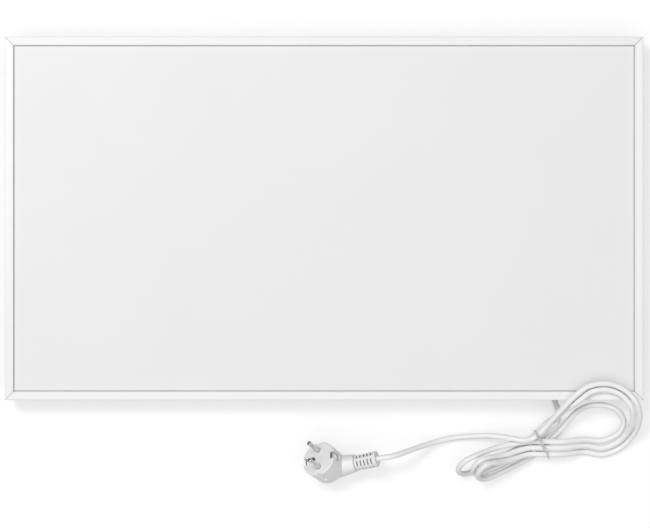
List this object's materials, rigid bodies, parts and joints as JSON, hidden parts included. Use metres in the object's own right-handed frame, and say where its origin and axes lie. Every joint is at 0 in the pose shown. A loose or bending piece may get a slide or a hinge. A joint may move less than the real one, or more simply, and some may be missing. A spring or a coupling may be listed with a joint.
{
  "type": "infrared panel heater",
  "caption": "Thin white framed radiant panel that hangs on a wall by two rails behind it, with a flat terminal box and a tied mains lead with an earthed plug.",
  "frame": {"origin": "under the middle of the panel, in the plane of the wall rails' outer faces", "axes": "+Z out of the heating face, +X right and +Y up on the wall; the panel lies on its back, as in a picture from above"},
  "size_m": [0.65, 0.4559, 0.051],
  "materials": {
    "frame": "white powder coat, satin",
    "face": "white powder coat, fine matt",
    "sheet": "pale grey coil-coated sheet, satin",
    "zinc": "zinc plated",
    "steel": "bright plated",
    "film": "black laminated film",
    "foil": "bright foil",
    "board": "pressed mineral wool",
    "housing": "moulded, satin",
    "block": "moulded",
    "rubber": "moulded",
    "cutout": "moulded",
    "cord": "soft PVC, satin",
    "tie": "plastic-covered wire",
    "plug": "moulded PVC, satin",
    "nickel": "nickel plated",
    "live": "wire sleeve, brown",
    "neutral": "wire sleeve, blue",
    "earth": "wire sleeve, green and yellow"
  },
  "bodies": {
    "root": {"frame_top": "frame", "frame_bottom": "frame", "frame_left": "frame", "frame_right": "frame", "corner_key_1": "zinc", "corner_key_2": "zinc", "corner_key_3": "zinc", "corner_key_4": "zinc", "front_panel": "face", "heating_film": "film", "reflector_foil": "foil", "insulation_board": "board", "rear_cover": "sheet", "cover_screw_1": "steel", "cover_screw_2": "steel", "cover_screw_3": "steel", "cover_screw_4": "steel", "wall_rail_upper": "zinc", "wall_rail_lower": "zinc", "rail_rivet_1": "zinc", "rail_rivet_2": "zinc", "rail_rivet_3": "zinc", "rail_rivet_4": "zinc", "rail_rivet_5": "zinc", "rail_rivet_6": "zinc", "rail_rivet_7": "zinc", "rail_rivet_8": "zinc", "terminal_box": "housing", "terminal_lid": "housing", "lid_screw_1": "steel", "lid_screw_2": "steel", "box_rivet_1": "zinc", "box_rivet_2": "zinc", "terminal_block": "block", "cord_clamp": "zinc", "clamp_screw_1": "steel", "clamp_screw_2": "steel", "gland_nut": "housing", "cord_sleeve": "cord", "cord_inlet": "cord", "wire_grommet": "rubber", "thermal_cutout": "cutout", "core_live": "live", "lead_live": "live", "core_neutral": "neutral", "lead_neutral": "neutral", "core_earth": "earth", "lead_earth": "earth", "earth_stud": "nickel", "cord_lead": "cord", "cord_hank": "cord", "cord_free": "cord", "cord_tie": "tie", "plug_body": "plug", "plug_relief": "plug", "plug_pin_1": "nickel", "plug_pin_2": "nickel", "plug_earth_clip_1": "nickel", "plug_earth_clip_2": "nickel", "plug_earth_socket": "nickel"}
  },
  "joints": []
}
